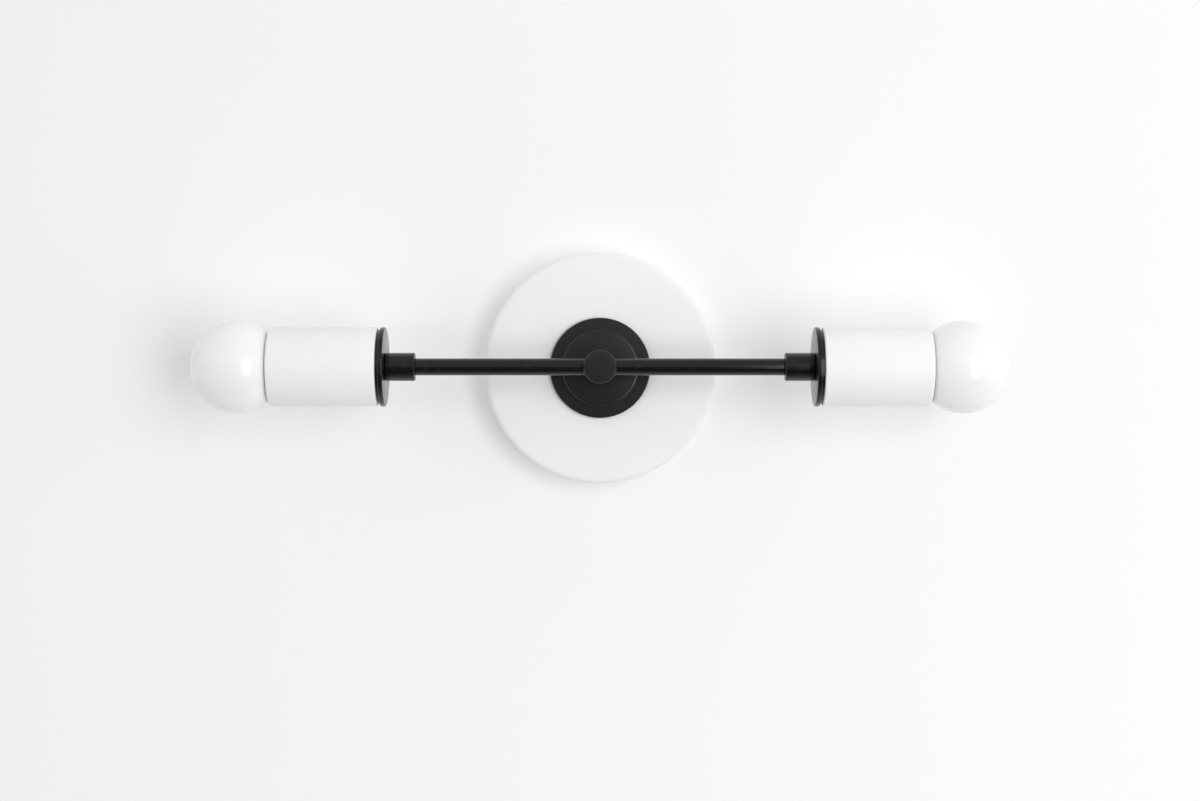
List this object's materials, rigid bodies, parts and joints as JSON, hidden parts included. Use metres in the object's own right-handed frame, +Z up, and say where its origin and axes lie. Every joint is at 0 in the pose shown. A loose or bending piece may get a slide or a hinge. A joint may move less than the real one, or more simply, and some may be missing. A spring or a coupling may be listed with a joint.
{
  "type": "vanity light",
  "caption": "Straight-bar wall light: white round canopy, black hub and tubes, and at each end an open white cup with a socket and an opal globe bulb that unscrews.",
  "frame": {"origin": "middle of the canopy's open back and of the wall strap, on the wall plane", "axes": "+X along the arms, to the right seen from the front; +Y into the wall; +Z up"},
  "size_m": [0.4606, 0.0832, 0.134],
  "materials": {
    "white_paint": "matte white powder coat",
    "black_paint": "satin black powder coat",
    "opal_glass": "glossy opal white glass",
    "clear_glass": "clear glass",
    "black_glass": "glossy black glass",
    "porcelain": "glazed white porcelain",
    "zinc_steel": "zinc-plated steel",
    "brass": "plain brass",
    "lamp_cap_metal": "nickel-plated screw cap",
    "green_metal": "green dyed zinc",
    "green_insulation": "green wire insulation",
    "black_insulation": "black wire insulation",
    "white_insulation": "white wire insulation",
    "wire_nut_plastic": "orange moulded plastic",
    "filament": "yellow coated filament"
  },
  "bodies": {
    "fixture": {"canopy": "white_paint", "wall_bracket": "zinc_steel", "canopy_side_screws": "white_paint", "ground_screw": "green_metal", "ground_lead": "green_insulation", "backing_plate": "black_paint", "centre_disc": "black_paint", "neck": "black_paint", "hub": "black_paint", "centre_nipple": "zinc_steel", "centre_lock_washer": "zinc_steel", "centre_lock_nut": "zinc_steel", "hot_wire_nut": "wire_nut_plastic", "neutral_wire_nut": "wire_nut_plastic", "left_arm_tube": "black_paint", "left_coupler": "black_paint", "left_socket_nipple": "zinc_steel", "left_socket_plate": "black_paint", "left_cup": "white_paint", "left_cup_lock_washer": "zinc_steel", "left_cup_lock_nut": "zinc_steel", "left_socket_cap": "zinc_steel", "left_socket_body": "porcelain", "left_screw_shell": "brass", "left_contact_spring": "brass", "left_socket_rivets": "brass", "left_hot_lead": "black_insulation", "left_neutral_lead": "white_insulation", "right_arm_tube": "black_paint", "right_coupler": "black_paint", "right_socket_nipple": "zinc_steel", "right_socket_plate": "black_paint", "right_cup": "white_paint", "right_cup_lock_washer": "zinc_steel", "right_cup_lock_nut": "zinc_steel", "right_socket_cap": "zinc_steel", "right_socket_body": "porcelain", "right_screw_shell": "brass", "right_contact_spring": "brass", "right_socket_rivets": "brass", "right_hot_lead": "black_insulation", "right_neutral_lead": "white_insulation"},
    "left_bulb_tip": {"left_bulb_tip": "lamp_cap_metal"},
    "left_bulb": {"left_bulb_globe": "opal_glass", "left_bulb_cap": "lamp_cap_metal", "left_bulb_insulator": "black_glass", "left_bulb_mount": "clear_glass", "left_bulb_filaments": "filament"},
    "right_bulb_tip": {"right_bulb_tip": "lamp_cap_metal"},
    "right_bulb": {"right_bulb_globe": "opal_glass", "right_bulb_cap": "lamp_cap_metal", "right_bulb_insulator": "black_glass", "right_bulb_mount": "clear_glass", "right_bulb_filaments": "filament"}
  },
  "joints": [
    {"name": "left_bulb_advance", "type": "slide", "parent": "fixture", "child": "left_bulb_tip", "axis": [-1, 0, 0], "range_m": [0, 0.01634]},
    {"name": "left_bulb_turn", "type": "hinge", "parent": "left_bulb_tip", "child": "left_bulb", "pos_m": [-0.1575, -0.057, 0], "axis": [-1, 0, 0], "range_deg": [0, 1620]},
    {"name": "right_bulb_advance", "type": "slide", "parent": "fixture", "child": "right_bulb_tip", "axis": [1, 0, 0], "range_m": [0, 0.01634]},
    {"name": "right_bulb_turn", "type": "hinge", "parent": "right_bulb_tip", "child": "right_bulb", "pos_m": [0.1575, -0.057, 0], "axis": [1, 0, 0], "range_deg": [0, 1620]}
  ],
  "couplings": [
    {"joint": "left_bulb_advance", "follows": "left_bulb_turn", "m_per_rad": 0.0005775},
    {"joint": "right_bulb_advance", "follows": "right_bulb_turn", "m_per_rad": 0.0005775}
  ]
}
